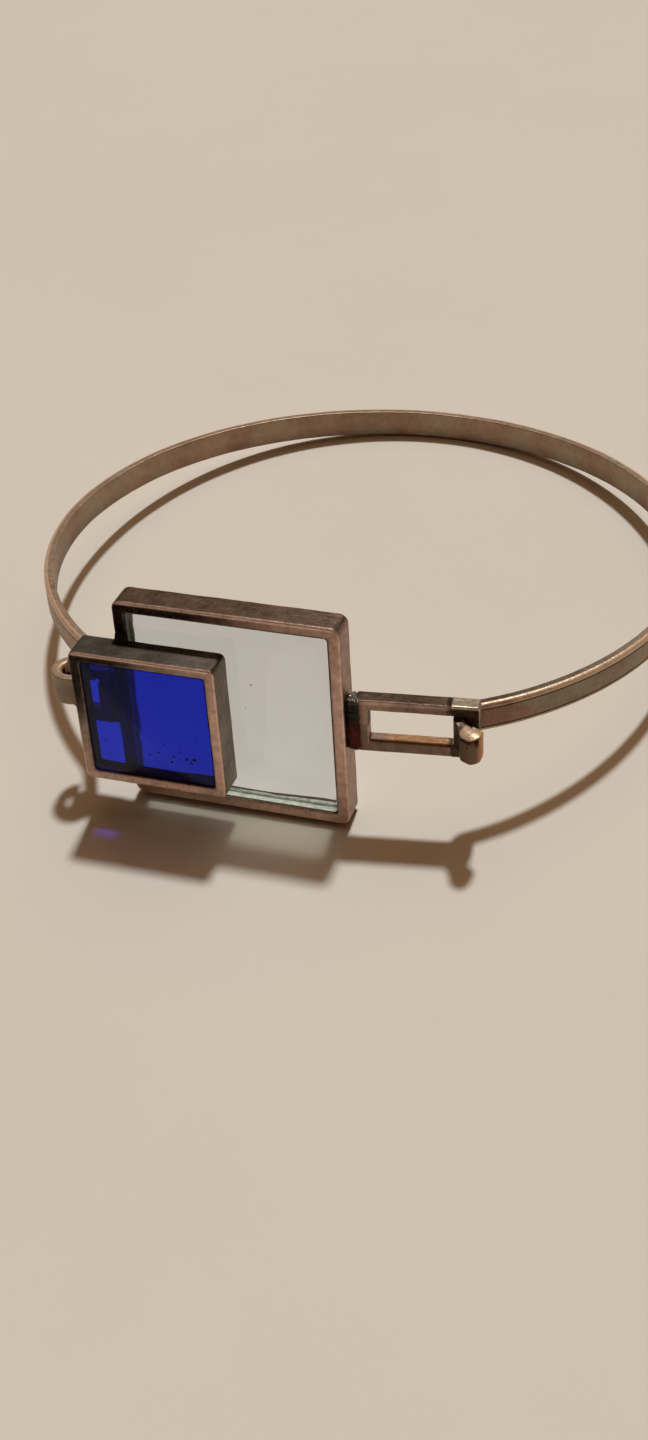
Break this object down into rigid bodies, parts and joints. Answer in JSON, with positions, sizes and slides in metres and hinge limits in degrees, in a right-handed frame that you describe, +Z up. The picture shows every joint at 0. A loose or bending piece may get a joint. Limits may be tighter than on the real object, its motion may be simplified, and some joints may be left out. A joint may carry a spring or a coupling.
{
  "type": "hinged bangle bracelet",
  "caption": "Oval springy strip bangle hinged to a centrepiece of two overlapping square frames set with clear and blue panes, with a slotted link and hook clasp.",
  "frame": {"origin": "centre of the bounding box at the surface that the bracelet rests on", "axes": "+X along the bracelet's width, from the hinge towards the clasp; +Y from the centrepiece towards the back of the strip; +Z up from the resting surface"},
  "size_m": [0.0622, 0.0608, 0.0202],
  "materials": {
    "frame_metal": "silver with a brown tarnish, worn pinkish on the front faces",
    "link_metal": "dark tarnished silver wire",
    "link_end_metal": "lighter worn silver wire",
    "band_metal": "silver strip with a grey-green patina and worn edges",
    "solder": "dark lumpy solder",
    "cement": "old grey-green cement",
    "clear_pane": "almost clear, faintly blue-grey",
    "blue_pane": "deep cobalt blue, with a few pits"
  },
  "bodies": {
    "centrepiece": {"large_frame": "frame_metal", "large_pane": "clear_pane", "pane_cement": "cement", "small_frame": "frame_metal", "small_pane": "blue_pane", "crossing_solder": "solder", "link": "link_metal", "link_end": "link_end_metal", "link_solder": "solder", "staple": "link_metal", "staple_solder": "solder"},
    "strip_left": {"band_left": "band_metal"},
    "strip_right": {"band_right": "band_metal"}
  },
  "joints": [
    {"name": "band_swing", "type": "hinge", "parent": "centrepiece", "child": "strip_left", "pos_m": [-0.01845, -0.02506, 0.01043], "axis": [0, 0.1627, 0.9867], "range_deg": [0, 10]},
    {"name": "band_flex", "type": "hinge", "parent": "strip_left", "child": "strip_right", "pos_m": [0, 0.02918, 0.00149], "axis": [0, -0.1627, -0.9867], "range_deg": [0, 8.6], "stiffness_Nm_per_rad": 0.02, "springref_deg": -8.59}
  ],
  "couplings": [
    {"joint": "band_flex", "follows": "band_swing", "ratio": 0.857}
  ]
}
